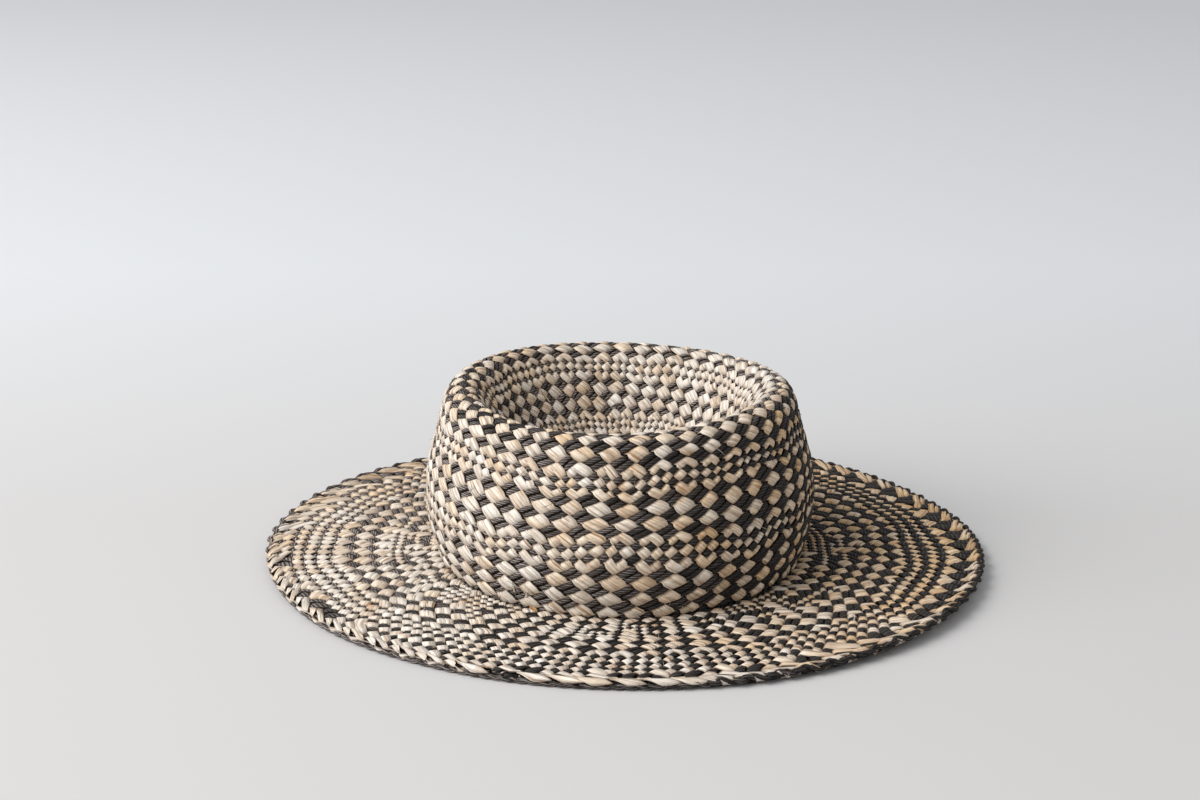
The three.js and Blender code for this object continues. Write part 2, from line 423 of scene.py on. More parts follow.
# %% [markdown]
# ## Over and under
# A strand's level is 1 where it lies on top and -1 where it lies below. In pairs, two neighbouring strands
# do the same, one row apart. The level between crossings follows a soft step, so that a strand lies flat
# on top and dives quickly, as real straw does.

# %% Levels of the strands
SLANT = {True: -0.44, False: 0.56}  # strands' widths that a path moves round for each row up
FINE_CHANCE = 0.4  # the sum of waves above which a block in a mixed row is fine
FINE_SIDE = math.radians(215)  # the side where that is likelier
FLOAT_END = 0.66  # level of a pair's crossings at a float's ends, before the curve is flattened
RING_PLACES = np.array([-0.27, 0, 0.27])  # where a strand's rings lie, from the middle of a row


def hats(knots, rows, reach):
    """Weights that join knots by straight lines: 1 at the knot, down to 0 at the reach."""
    return np.maximum(0, 1 - np.abs(rows[None, :] - knots[:, None]) / reach)


def in_bands(row, bands):
    """True where a row is in one of the bands."""
    return sum((row >= low) & (row <= high) for low, high in bands) > np.zeros(np.shape(row))


def strand_levels(number, rows, natural, plait):
    """Levels of the strands at the rows, and how far each crossing there is a single one.
    Where pairs cross, the block's number says which colour is on top: every second row of blocks.
    Where single strands cross, it is every second row. The level is 1 or -1 there, less at the
    ends of a pair's float, with the mean between. The curve is then flattened towards 1 and -1."""
    whole = np.arange(math.floor(rows.min()) - 2, math.ceil(rows.max()) + 3)
    partner = number[:, None] % 2
    block = (whole + 1 - partner) // 2 if natural else (whole + partner) // 2
    own = number[:, None] // 2
    natural_pair = own if natural else own + block
    charcoal_pair = own - block if natural else own
    steps = 1 + 2 * SLANT[False] * natural_pair - 2 * SLANT[True] * charcoal_pair
    turn = 2 * np.pi / plait["strands"] * steps
    single = in_bands(whole, plait["bands"])
    for low, high, left in plait["mixed"]:
        by_chance = waves(MIX_WAVES, 2 * block, turn) > FINE_CHANCE - left * np.cos(turn - FINE_SIDE)
        single = single | (by_chance & (2 * block >= low) & (2 * block <= high))
    changed = 2 * block < plait["change"]
    by_row = np.where(whole % 2 == 0, 1, -1)
    by_block = np.where((block + changed) % 2 == 0, 1, -1)
    on_top = np.where(single, by_row, by_block)
    if not natural:
        on_top = -on_top
    same = (np.roll(on_top, 1, axis=1) == on_top) | (np.roll(on_top, -1, axis=1) == on_top)
    between = (on_top[:, :-1] + on_top[:, 1:]) / 2
    level = np.where(same, FLOAT_END, 1.0) * on_top @ hats(whole, rows, 0.5)
    level = np.clip(2 * (level + between @ hats(whole[:-1] + 0.5, rows, 0.5)), -1, 1)
    return level * (1.5 - 0.5 * level**2), single @ hats(whole, rows, 1.0)


def sample_rows(first, last, bands):
    """Rows where a strand gets a ring of points: a little before and after the middle of each row,
    and in the fine bands at the middle too."""
    low = min(first, last)
    high = max(first, last)
    whole = np.arange(math.ceil(low) - 1, math.floor(high) + 2)
    close = in_bands(whole, [(start - 1, end + 1) for start, end in bands])
    parts = [row + (RING_PLACES if fine else RING_PLACES[::2]) for row, fine in zip(whole, close)]
    rows = np.concatenate(parts)
    return np.unique(np.concatenate([[low], rows[(rows > low + 0.1) & (rows < high - 0.1)], [high]]))


first_levels = strand_levels(np.arange(2), np.arange(8.0), True, CROWN_PLAIT)[0]
print("levels of a pair at rows 0 to 7:", first_levels.round(1).tolist())

# %% [markdown]
# ## Making the ribbons
# Each strand is a closed ribbon with a section of six corners: a flat one with crisp edges for the natural
# leaf and a round one for the twisted charcoal. Its middle line is the surface at the strand's slanting
# path, raised or lowered by its level. Its section is not square to the path but lies along the strands
# that cross it, so that a lozenge ends in a clean slanting edge where they pass over. In the paired rows
# the two ribbons of a pair touch and share one arch, so that they bulge as one lozenge with a fine seam.
# Natural lozenges meet tip to tip. Their sharpest tips are taken off, so that the charcoal runs on between.

# %% Sections of the two straws
# each table has a value for natural, True, and one for charcoal, False
CORNERS = 6
SECTION_ACROSS = {True: np.array([0.95, 0, -0.95, -0.95, 0, 0.95]),
                  False: np.array([0.84, 0, -0.84, -0.84, 0, 0.84])}
SECTION_UP = {True: np.array([0.30, 0.42, 0.30, -0.30, -0.42, -0.30]) * MM,
              False: np.array([0.32, 0.62, 0.32, -0.32, -0.62, -0.32]) * MM}
UPPER_SIDE = np.array([1, 1, 1, -1, -1, -1])  # which corners face the hat's outside
LIFT = 0.90 * MM  # how far a strand's middle rises above the sheet's middle
PAIR_ARCH = {True: 0.55 * MM, False: 0.4 * MM}
PAIR_SEAM = 1.04  # where the inner edges of a natural pair meet, just past the middle between them
SEAM_THICKER = 0.15 * MM  # and how much thicker they are there
PAIR_RISE = 0.14 * MM  # how far chance raises or lowers a pair
PAIR_TILT = 0.17 * MM  # how far chance raises one side of a pair
print("thickest straw in mm:", 2 * SECTION_UP[False].max() / MM)


# %% Chance along the strands
def wander(count, rows, spacing):
    """Smooth random values from -1 to 1 for each strand, with a new value at every spacing of rows."""
    knots = np.arange(rows.min() - spacing, rows.max() + 2 * spacing, spacing)
    return random.uniform(-1, 1, (count, len(knots))) @ hats(knots, rows, spacing)


def pair_wander(count, rows, spacing):
    """The same with one set of values for each pair of strands."""
    return np.repeat(wander((count + 1) // 2, rows, spacing), 2, axis=0)[:count]


def unit(vectors):
    """Each vector divided by its length."""
    return vectors / np.maximum(np.linalg.norm(vectors, axis=-1, keepdims=True), 1e-12)


knot_weights = hats(np.zeros(1), np.array([0, 0.25, 0.5]), 1.0)[0]
print("weights at a knot, and a quarter and half way to the next:", knot_weights.tolist())


# %% Ribbons from middle lines
def closed_tubes(tubes, count):
    """Faces of closed tubes: each side face joins two corners of a ring to the same corners of
    the next ring, and each end is two four-sided faces."""
    index = np.arange(tubes * count * CORNERS).reshape(tubes, count, CORNERS)
    around = np.roll(index, -1, axis=2)
    sides = np.stack([index[:, :-1], index[:, 1:], around[:, 1:], around[:, :-1]], axis=-1)
    first = index[:, 0]
    last = index[:, -1]
    ends = [first[:, [0, 1, 2, 3]], first[:, [3, 4, 5, 0]], last[:, [3, 2, 1, 0]], last[:, [0, 5, 4, 3]]]
    return np.concatenate([sides.reshape(-1, 4), *ends])


def place_on_strand(run):
    """For each corner of each ring, the metres along the strand and the share of the way round it."""
    around = np.arange(CORNERS)[None, None] / CORNERS
    return np.stack(np.broadcast_arrays(run[..., None], around), axis=-1).reshape(-1, 2)


def ribbons(middle, side, normal, level, single, natural, tint, proud=0.0, thickness=1.0, blunt=0.0):
    """Points, faces and values of closed ribbons. A point is the middle plus side, which reaches to
    the ribbon's edge, times its place across, plus normal times its height. The height is the level's
    lift, how proud the colour stands, the section's own height and the pair's arch, which is its size
    times a half less the square of the place across the pair. Blunt moves a pair's outer edges in. The
    level is kept for the finish, turned over on the ribbon's under side, for painted shade: the finish
    darkens the straw where another strand covers it and leaves it light where it shows."""
    count, length = middle.shape[:2]
    flat = SECTION_ACROSS[natural]
    partner = np.where(np.arange(count) % 2 == 0, -1.0, 1.0)[:, None, None]
    pairing = (1 - single)[..., None]
    inner = (flat * partner < 0) * pairing
    across = flat + inner * np.sign(flat) * (PAIR_SEAM - np.abs(flat)) * natural
    across = across - (flat * partner > 0) * pairing * np.sign(flat) * np.asarray(blunt)[..., None]
    thick = SECTION_UP[natural] + inner * np.sign(SECTION_UP[natural]) * SEAM_THICKER * natural
    thick = thick * thickness
    place = (across + partner) / 2
    arch = PAIR_ARCH[natural] * (0.5 - place**2) * pairing * level[..., None]
    about_rows = np.arange(length) / 2.2  # most rows have two rings, and the fine ones three
    tilt = pair_wander(count, about_rows, 2.5)
    rise = pair_wander(count, about_rows, 4.0)
    height = (LIFT * level + proud + PAIR_RISE * rise)[..., None] + thick + arch
    height = height + PAIR_TILT * tilt[..., None] * (across + partner * pairing)
    points = middle[:, :, None] + side[:, :, None] * across[..., None]
    points = points + normal[:, :, None] * height[..., None]
    steps = np.linalg.norm(np.diff(middle, axis=1), axis=-1)
    run = np.concatenate([np.zeros((count, 1)), np.cumsum(steps, axis=1)], axis=1)
    uv = place_on_strand(run + random.uniform(0, 1, (count, 1)))
    # painted shade: 1 where the straw shows and 0 where another strand covers it, darkened by the finish
    painted_shade_level = level[..., None] * UPPER_SIDE * 0.5 + 0.5
    values = {"level": painted_shade_level.ravel(), "tint": np.repeat(tint.ravel(), CORNERS)}
    faces = closed_tubes(count, length)
    # the third and sixth face of each ring are the cut edges, which look flat on the natural leaf
    smooth = np.ones(len(faces), bool)
    smooth[:count * (length - 1) * CORNERS] = np.tile([True, True, not natural], 2 * count * (length - 1))
    return points.reshape(-1, 3), faces, uv, values, smooth


print("faces of one ribbon with two rings:", len(closed_tubes(1, 2)))

# %% One colour's strands
# each pair of numbers is a value where the straw faces neither way, and its change with the facing
SHARE = {True: (1.10, 0.17), False: (0.905, -0.16)}  # width, as a part of the room between two strands
# the tint's change with the facing is painted light and shade: paler natural straw and a painted sheen on
# the charcoal towards the window, and darker, more tan straw away from it
TINT_WITH_PAINTED_LIGHT = {True: (0.55, -0.46), False: (1.32, -1.25)}
LONGER = {True: 0.22, False: -0.22}  # rows that a float gains at each end where the straw is bright
PROUD = {True: 0.17 * MM, False: -0.17 * MM}
# what chance changes: along the hat in strands' widths, a float's length in rows, the width, the tint
PAIR_SLIDE = 0.10
OWN_SLIDE = 0.05
OWN_LENGTH = 0.05
OWN_WIDTH = 0.09
PAIR_TINT = 0.34
OWN_TINT = 0.14


def strand_tint(lean, change, natural):
    """The place between a colour's lit tone, 0, and its shaded one, 1. The facing paints light and shade,
    and the change adds the straw's own tone. The charcoal's painted sheen goes fast.
    """
    base, slope = TINT_WITH_PAINTED_LIGHT[natural]
    return np.clip(base + slope * lean + change, 0, 1)


def strand_set(surface, plait, first, last, natural, chosen=None):
    """One colour's strands on a surface between two rows, all of them or the chosen ones. The path of
    strand k is angle = 2 pi / strands * (k + 1/2 + slant * row). The way along the other colour, from
    one strand to the next, gives the ribbon's slanting width, times a share. Where the hat faces the
    window the natural straw is wider and prouder and stays on top a little longer, and painted light
    makes it paler and gives the charcoal a lighter grey, a painted sheen. The tip that is taken off is
    where the first of a pair dives or the second comes up."""
    rows = sample_rows(first, last, plait["bands"])
    number = np.arange(plait["strands"]) if chosen is None else chosen
    count = len(number)
    pitch = 2 * np.pi / plait["strands"]
    slide = PAIR_SLIDE * pair_wander(count, rows, 4.0) + OWN_SLIDE * wander(count, rows, 2.5)
    angle = pitch * (number[:, None] + 0.5 + SLANT[natural] * rows + slide)
    outside = np.clip((plait["turn"] - rows) / 4, -1, 1)
    lean = plait["sizes"](angle, outside)
    level, single = strand_levels(number, rows, natural, plait)
    dive = np.clip(-np.gradient(level, rows, axis=1) / 1.8, -1, 1)
    longer = (LONGER[natural] * lean + OWN_LENGTH * wander(count, rows, 2.0)) * dive
    row = rows + longer
    angle = angle + pitch * SLANT[natural] * longer
    middle = surface(row, angle)
    across = (surface(row, angle + 0.004) - surface(row, angle - 0.004)) / 0.008 * pitch
    up = (surface(row + 0.05, angle) - surface(row - 0.05, angle)) / 0.1
    normal = unit(np.cross(unit(across), unit(up)))
    to_next = (up + across * SLANT[not natural]) * (1 if natural else -1)
    share = SHARE[natural][0] + SHARE[natural][1] * lean
    share = share * (1 + OWN_WIDTH * wander(count, rows, 4.0)) * (0.93 + 0.07 * level)
    proud = PROUD[natural] * (lean + 0.25)
    change = PAIR_TINT * pair_wander(count, rows, 3.2) + OWN_TINT * wander(count, rows, 2.0)
    # painted light: the tint is paler on natural straw, and a lighter grey painted sheen on charcoal, where
    # the straw faces the window
    painted_light_angle = plait["painted_pale_angle"] if natural else plait["painted_sheen_angle"]
    tint = strand_tint(facing_window(angle, outside, painted_light_angle), change, natural)
    side = to_next * share[..., None] / 2
    at_tip = np.clip(np.where(number % 2 == 0, 1, -1)[:, None] * dive, 0, 1) * (level > 0) * natural
    blunt = plait["blunt"] * (1 - 0.55 * lean) * at_tip
    return ribbons(middle, side, normal, level, single, natural, tint, proud, 1.0, blunt)


print("tints of natural straw, from facing the window to facing away:",
      strand_tint(np.array([1, 0, -0.7]), 0, True).round(2).tolist())


# %% Pieces from whole arrays
def new_piece(name, points, faces, uv, values, smooth):
    """A mesh object from whole arrays: points, four-sided faces, a place on the strand for each point,
    named values at the points, and whether each face is smooth. Where a face closes the way round a
    strand, its places are carried on past 1, so that they don't run back across it."""
    mesh = bpy.data.meshes.new(name)
    mesh.vertices.add(len(points))
    mesh.vertices.foreach_set("co", np.ascontiguousarray(points, np.float32).ravel())
    mesh.loops.add(faces.size)
    mesh.loops.foreach_set("vertex_index", faces.astype(np.int32).ravel())
    mesh.polygons.add(len(faces))
    mesh.polygons.foreach_set("loop_start", np.arange(0, faces.size, 4, dtype=np.int32))
    mesh.update(calc_edges=True)
    mesh.polygons.foreach_set("use_smooth", smooth)
    corner_uv = uv[faces]
    spread = corner_uv[..., 1].max(axis=1) - corner_uv[..., 1].min(axis=1)
    wrapped = (spread[:, None] > 0.5) & (corner_uv[..., 1] < 0.5)
    corner_uv[..., 1] += wrapped
    layer = mesh.uv_layers.new(name="strand")
    layer.data.foreach_set("uv", corner_uv.astype(np.float32).ravel())
    for label, value in values.items():
        mesh.attributes.new(label, "FLOAT", "POINT").data.foreach_set("value", value.astype(np.float32))
    mesh.validate()
    piece = bpy.data.objects.new(name, mesh)
    bpy.context.collection.objects.link(piece)
    print(name, "triangles:", 2 * len(faces))
    return piece


def join_sets(name, sets):
    """One piece from sets of strands: their arrays end to end, with the faces renumbered."""
    starts = np.cumsum([0, *[len(item[0]) for item in sets]])
    points = np.concatenate([item[0] for item in sets])
    faces = np.concatenate([item[1] + start for item, start in zip(sets, starts)])
    uv = np.concatenate([item[2] for item in sets])
    values = {key: np.concatenate([item[3][key] for item in sets]) for key in sets[0][3]}
    return new_piece(name, points, faces, uv, values, np.concatenate([item[4] for item in sets]))


# %% [markdown]
# ## The strands' finish
# Natural straw is a flat leaf: pale, with fine lengthwise fibres and a tan stain here and there. Where it
# dives under another strand, painted shade makes it darker and a little warmer, and on the side towards the
# window painted light makes it paler. The charcoal strands are the same leaf dyed and twisted, so their
# fibres run aslant, and a painted sheen lightens them towards the window. One node group makes both from
# the place along and across the strand, and each material gives it its own colours and fibres.

# %% Helpers for nodes
def add_node(tree, kind, **sockets):
    """A node with its named inputs set."""
    node = tree.nodes.new(kind)
    for name, value in sockets.items():
        node.inputs[name].default_value = value
    return node


def maths(tree, operation, first, second):
    """A maths node on two values or sockets."""
    node = tree.nodes.new("ShaderNodeMath")
    node.operation = operation
    for socket, value in zip(node.inputs, (first, second)):
        if isinstance(value, (int, float)):
            socket.default_value = value
        else:
            tree.links.new(value, socket)
    return node.outputs[0]


def blend_colours(tree, kind, factor, first, second):
    """A colour mix node on two sockets, with a factor that is a number or a socket."""
    node = tree.nodes.new("ShaderNodeMix")
    node.data_type = "RGBA"
    node.blend_type = kind
    sockets = {"Factor": node.inputs[0], "A": node.inputs[6], "B": node.inputs[7]}
    for name, value in (("Factor", factor), ("A", first), ("B", second)):
        if isinstance(value, (int, float, tuple)):
            sockets[name].default_value = value
        else:
            tree.links.new(value, sockets[name])
    return node.outputs[2]


def stretch(tree, value, low, high):
    """A value spread from between low and high to between 0 and 1."""
    node = add_node(tree, "ShaderNodeMapRange")
    node.inputs["From Min"].default_value = low
    node.inputs["From Max"].default_value = high
    tree.links.new(value, node.inputs["Value"])
    return node.outputs["Result"]


def lines_noise(tree, along, across, detail):
    """Noise over two coordinates, so that it is drawn out where a coordinate changes slowly."""
    place = tree.nodes.new("ShaderNodeCombineXYZ")
    tree.links.new(along, place.inputs["X"])
    tree.links.new(across, place.inputs["Y"])
    noise = add_node(tree, "ShaderNodeTexNoise", Scale=1.0, Detail=detail, Roughness=0.6)
    tree.links.new(place.outputs["Vector"], noise.inputs["Vector"])
    return noise.outputs["Fac"]


print("helpers for nodes made")

# %% Node group for fibres
from functools import partial

# each pair of numbers is where a noise or a wave starts to show and where it is full
FIBRE_EDGES = (0.36, 0.64)
GROOVE_EDGES = (-0.7, 0.9)
SPLIT_EDGES = (0.63, 0.71)
STAIN_EDGES = (0.58, 0.78)
STAINS_PER_METRE = 70.0
DIVE_SHADE_POWER = 1.4
# the painted shade of the dives and of the charcoal's grooves, and the straw's own fibre lines, are warmed
# a little by these powers
SHADE_POWERS = {"Red": 0.85, "Green": 1.0, "Blue": 1.15}  # shade between the fibres is a little warm
GROOVE_ROUGHNESS = 0.78
FIBRE_GLOSS = 0.25


def fibre_group():
    """Colour, height and roughness of a strand. The fibres are noise that is drawn out along the strand.
    The colour goes from pale to tan with the tint, which holds painted light as well as the straw's own
    tone, and to brown in thin splits and in stained places. It is darker between the fibres, which are
    the straw's own lines and, on the twisted charcoal, also painted shade in the twist's grooves, and
    darker with painted shade where the strand dives under another."""
    tree = bpy.data.node_groups.new("strand fibres", "ShaderNodeTree")
    add, subtract, multiply, power = (partial(maths, tree, kind)
                                      for kind in ("ADD", "SUBTRACT", "MULTIPLY", "POWER"))
    for name, kind in (("Pale", "Color"), ("Tan", "Color"), ("Brown", "Color"), ("Fibres", "Float"),
                       ("Slant", "Float"), ("Along", "Float"), ("Streak", "Float"), ("DiveShade", "Float"),
                       ("Twist", "Float")):
        tree.interface.new_socket(name=name, in_out="INPUT", socket_type="NodeSocket" + kind)
    for name, kind in (("Color", "Color"), ("Height", "Float"), ("Roughness", "Float")):
        tree.interface.new_socket(name=name, in_out="OUTPUT", socket_type="NodeSocket" + kind)
    given = tree.nodes.new("NodeGroupInput").outputs
    result = tree.nodes.new("NodeGroupOutput").inputs
    uv = tree.nodes.new("ShaderNodeUVMap")
    uv.uv_map = "strand"
    parts = tree.nodes.new("ShaderNodeSeparateXYZ")
    tree.links.new(uv.outputs["UV"], parts.inputs["Vector"])
    run = parts.outputs["X"]
    along = multiply(run, given["Along"])
    across = multiply(parts.outputs["Y"], given["Fibres"])
    across = add(across, multiply(run, given["Slant"]))
    loose = lines_noise(tree, along, across, 3.0)
    bent = add(across, multiply(loose, 0.9))
    wave = maths(tree, "SINE", multiply(bent, 2 * math.pi), 0.0)
    groove = stretch(tree, wave, *GROOVE_EDGES)
    fibre = stretch(tree, loose, *FIBRE_EDGES)
    twisted = multiply(groove, add(multiply(fibre, 0.5), 0.5))
    choice = tree.nodes.new("ShaderNodeMix")
    tree.links.new(given["Twist"], choice.inputs[0])
    tree.links.new(fibre, choice.inputs[2])
    tree.links.new(twisted, choice.inputs[3])
    fibre = choice.outputs[0]
    slow = add(multiply(along, 0.4), 7.5)
    split = stretch(tree, lines_noise(tree, slow, multiply(across, 0.8), 1.0), *SPLIT_EDGES)
    tint = tree.nodes.new("ShaderNodeAttribute")
    tint.attribute_name = "tint"
    level = tree.nodes.new("ShaderNodeAttribute")
    level.attribute_name = "level"
    body = tree.nodes.new("ShaderNodeTexCoord")
    spots = add_node(tree, "ShaderNodeTexNoise", Scale=STAINS_PER_METRE, Detail=3.0, Roughness=0.6)
    tree.links.new(body.outputs["Object"], spots.inputs["Vector"])
    stained = multiply(stretch(tree, spots.outputs["Fac"], *STAIN_EDGES), 0.8)
    colour = blend_colours(tree, "MIX", tint.outputs["Fac"], given["Pale"], given["Tan"])
    colour = blend_colours(tree, "MIX", stained, colour, given["Brown"])
    colour = blend_colours(tree, "MIX", multiply(split, 0.7), colour, given["Brown"])
    # streaks: the straw's own fibre lines, and on the twisted charcoal also painted shade in the twist's
    # grooves
    streak = multiply(subtract(1.0, fibre), given["Streak"])
    # painted shade where the strand dives under another, from the level
    low = power(subtract(1.0, level.outputs["Fac"]), DIVE_SHADE_POWER)
    lit = multiply(subtract(1.0, streak), subtract(1.0, multiply(low, given["DiveShade"])))
    grey = tree.nodes.new("ShaderNodeCombineColor")
    for channel, strength in SHADE_POWERS.items():
        tree.links.new(power(lit, strength), grey.inputs[channel])
    colour = blend_colours(tree, "MULTIPLY", 1.0, colour, grey.outputs["Color"])
    tree.links.new(colour, result["Color"])
    tree.links.new(fibre, result["Height"])
    roughness = subtract(GROOVE_ROUGHNESS, multiply(fibre, FIBRE_GLOSS))
    tree.links.new(roughness, result["Roughness"])
    return tree


FIBRES = fibre_group()
print("node group made:", FIBRES.name)


# %% Materials of the strands
def strand_finish(name, colours, fibres, slant, along, streak, dive_shade, twist, bump, sheen):
    """A material from the fibre group: its colours, fibres round the strand, slant of the twist and
    change along the strand per metre, darkness of the streaks, strength of the painted shade where the
    strand dives, and depth of the bump."""
    material = bpy.data.materials.new(name)
    material.use_nodes = True
    tree = material.node_tree
    shader = tree.nodes["Principled BSDF"]
    group = tree.nodes.new("ShaderNodeGroup")
    group.node_tree = FIBRES
    for socket, colour in zip(("Pale", "Tan", "Brown"), colours):
        group.inputs[socket].default_value = (*colour, 1)
    settings = {"Fibres": fibres, "Slant": slant, "Along": along, "Streak": streak, "DiveShade": dive_shade,
                "Twist": twist}
    for socket, value in settings.items():
        group.inputs[socket].default_value = value
    relief = tree.nodes.new("ShaderNodeBump")
    relief.inputs["Distance"].default_value = bump
    tree.links.new(group.outputs["Height"], relief.inputs["Height"])
    tree.links.new(relief.outputs["Normal"], shader.inputs["Normal"])
    tree.links.new(group.outputs["Color"], shader.inputs["Base Color"])
    tree.links.new(group.outputs["Roughness"], shader.inputs["Roughness"])
    shader.inputs["Specular IOR Level"].default_value = sheen
    return material


# the pale and tan tones carry painted light as well as the straw's own tone: by the tint, paler towards the
# window and more tan away from it
NATURAL = strand_finish(
    "natural straw", ((0.94, 0.895, 0.83), (0.88, 0.63, 0.36), (0.52, 0.28, 0.11)),
    fibres=10, slant=0, along=50, streak=0.55, dive_shade=0.95, twist=0, bump=0.25 * MM, sheen=0.35)
# the pale grey is painted sheen towards the window; the near black is the dyed straw's own tone
CHARCOAL = strand_finish(
    "charcoal straw", ((0.46, 0.435, 0.44), (0.050, 0.045, 0.045), (0.10, 0.085, 0.08)),
    fibres=4.0, slant=430, along=60, streak=0.92, dive_shade=0.9, twist=1, bump=0.6 * MM, sheen=0.4)
STAINED = strand_finish(
    "stained straw", ((0.80, 0.52, 0.25), (0.66, 0.36, 0.13), (0.42, 0.20, 0.07)),
    fibres=10, slant=0, along=50, streak=0.55, dive_shade=0.9, twist=0, bump=0.25 * MM, sheen=0.35)


def dress(name, sets, finish, node):
    """Makes a piece of strands, gives it its material and body, and hides the CAD node that it stands
    for."""
    piece = join_sets(name, sets)
    piece.data.materials.append(finish)
    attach(piece, "root")
    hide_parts(node)


print("materials made:", [material.name for material in (NATURAL, CHARCOAL, STAINED)])

# %% [markdown]
# ## The side wall
# The wall has 88 natural and 88 charcoal strands. The strands run on over the lip into the top, so the
# wall's pieces end at a row where their own strands are hidden: the natural ones pass below at row 34,
# and the charcoal ones at row 36.

# %% Side wall
WALL_START = -1.6
PART_ROWS = {True: 34, False: 36}
FINISHES = {True: NATURAL, False: CHARCOAL}
WORDS = {True: "natural", False: "charcoal"}

for natural in (True, False):
    wall = strand_set(on_crown, CROWN_PLAIT, WALL_START, PART_ROWS[natural], natural)
    dress("side_" + WORDS[natural], [wall], FINISHES[natural], "crown_side")

# %% [markdown]
# ## The pressed-in top
# Towards the middle of the hollow there is less and less room, so a maker has fewer strands there: each
# pair becomes one strand, then half of those drop out, and so on to the middle.
# Each ring's strands start below the last ring's, where their ends don't show. A small square of plain
# plaiting in the middle is where the maker began.

# %% Top
FULL_RING_END = 70  # the last row with all the strands
FLOOR_RINGS = [
    # strands, halvings, first row, last row
    (44, 1, 34.5, 41.5), (22, 2, 20.0, 23.0), (11, 3, 11.15, 12.05),
]
SQUARE_STEP = 3.2 * MM  # from one ribbon of the first square to the next
UPRIGHT = np.array([0.0, 0.0, 1.0])


def floor_ring(strands, halvings, first, last, natural):
    """A ring of single strands on the hollow's floor. One of its rows is 2, 4 or 8 of the crown's, for
    1, 2 or 3 halvings of the strands."""
    def surface(row, angle):
        return on_crown(row * 2**halvings, angle)
    plait = {**CROWN_PLAIT, "strands": strands, "bands": [(-999, 999)], "turn": -100}
    return strand_set(surface, plait, first, last, natural)


def first_square(natural):
    """Four short ribbons side by side across the middle of the floor, over and under the four of
    the other colour. Their ends bend down into the straw."""
    along = np.linspace(-8.5, 8.5, 18) * MM
    beside = np.array([-4.8, -1.6, 1.6, 4.8]) * MM
    beside, along = np.meshgrid(beside, along, indexing="ij")
    turn = math.radians(35 if natural else 125)
    x = along * math.cos(turn) - beside * math.sin(turn)
    y = along * math.sin(turn) + beside * math.cos(turn)
    centre = crown_at(line_length[-1], np.array([0.0]))[0]
    middle = np.stack([x, y, 0 * x], axis=-1) + centre + [0, 0, 1.0 * MM]
    middle[..., 2] -= np.maximum(0, np.abs(along) - 6 * MM) ** 1.3 * 4
    side = np.broadcast_to([-math.sin(turn), math.cos(turn), 0], middle.shape)
    normal = np.broadcast_to(UPRIGHT, middle.shape)
    phase = np.arange(4)[:, None] + (0 if natural else 1)
    level = np.cos(np.pi * (along / SQUARE_STEP - 0.5 + phase)) * (1 if natural else -1)
    side = side * (1.65 if natural else 1.45) * MM
    return ribbons(middle, side, normal, level, np.ones(level.shape), natural, 0.5 + 0 * level)


for natural in (True, False):
    rings = [strand_set(on_crown, CROWN_PLAIT, PART_ROWS[natural], FULL_RING_END, natural)]
    rings += [floor_ring(*ring, natural) for ring in FLOOR_RINGS]
    rings += [first_square(natural)]
    dress("tip_" + WORDS[natural], rings, FINISHES[natural], "crown_tip")

# %% [markdown]
# ## The brim
# At the crown's foot the maker adds strands, because the brim is so much wider: 144 of each colour.
# The new ones start under the foot. At the edge the strands sweep aside and curl round it. At the front
# seven natural pairs go below just before it instead, to come up again as the edge's broad leaves.

# %% Brim
FIRST_ROW = 2.0  # under the crown's foot
CURLED_ROW = -33.5  # at the end of the curl round the edge
TUCKED_ROW = -29.5  # just before the edge, where the front's pairs are below
FRONT_STRANDS = np.arange(84, 98)
OTHER_STRANDS = np.setdiff1d(np.arange(BRIM_PLAIT["strands"]), FRONT_STRANDS)

natural_sheets = [strand_set(on_brim, BRIM_PLAIT, FIRST_ROW, CURLED_ROW, True, OTHER_STRANDS),
                  strand_set(on_brim, BRIM_PLAIT, FIRST_ROW, TUCKED_ROW, True, FRONT_STRANDS)]
charcoal_sheets = [strand_set(on_brim, BRIM_PLAIT, FIRST_ROW, CURLED_ROW, False)]
dress("brim_natural", natural_sheets, NATURAL, "brim")
dress("brim_charcoal", charcoal_sheets, CHARCOAL, "brim")

# %% [markdown]
# ## Loose ends
# A handmade plait has ends that never got tucked in. The ones that show are listed one by one: pale and
# stained ones at the crown's foot, a few up the wall and on the rim, three in the hollow and some on the
# brim. Many more single fibres, as thin as hairs, are placed by chance.

# %% Shape of a loose end
END_COLUMNS = ("row", "angle", "length in mm", "heading", "lift in mm", "width in mm")


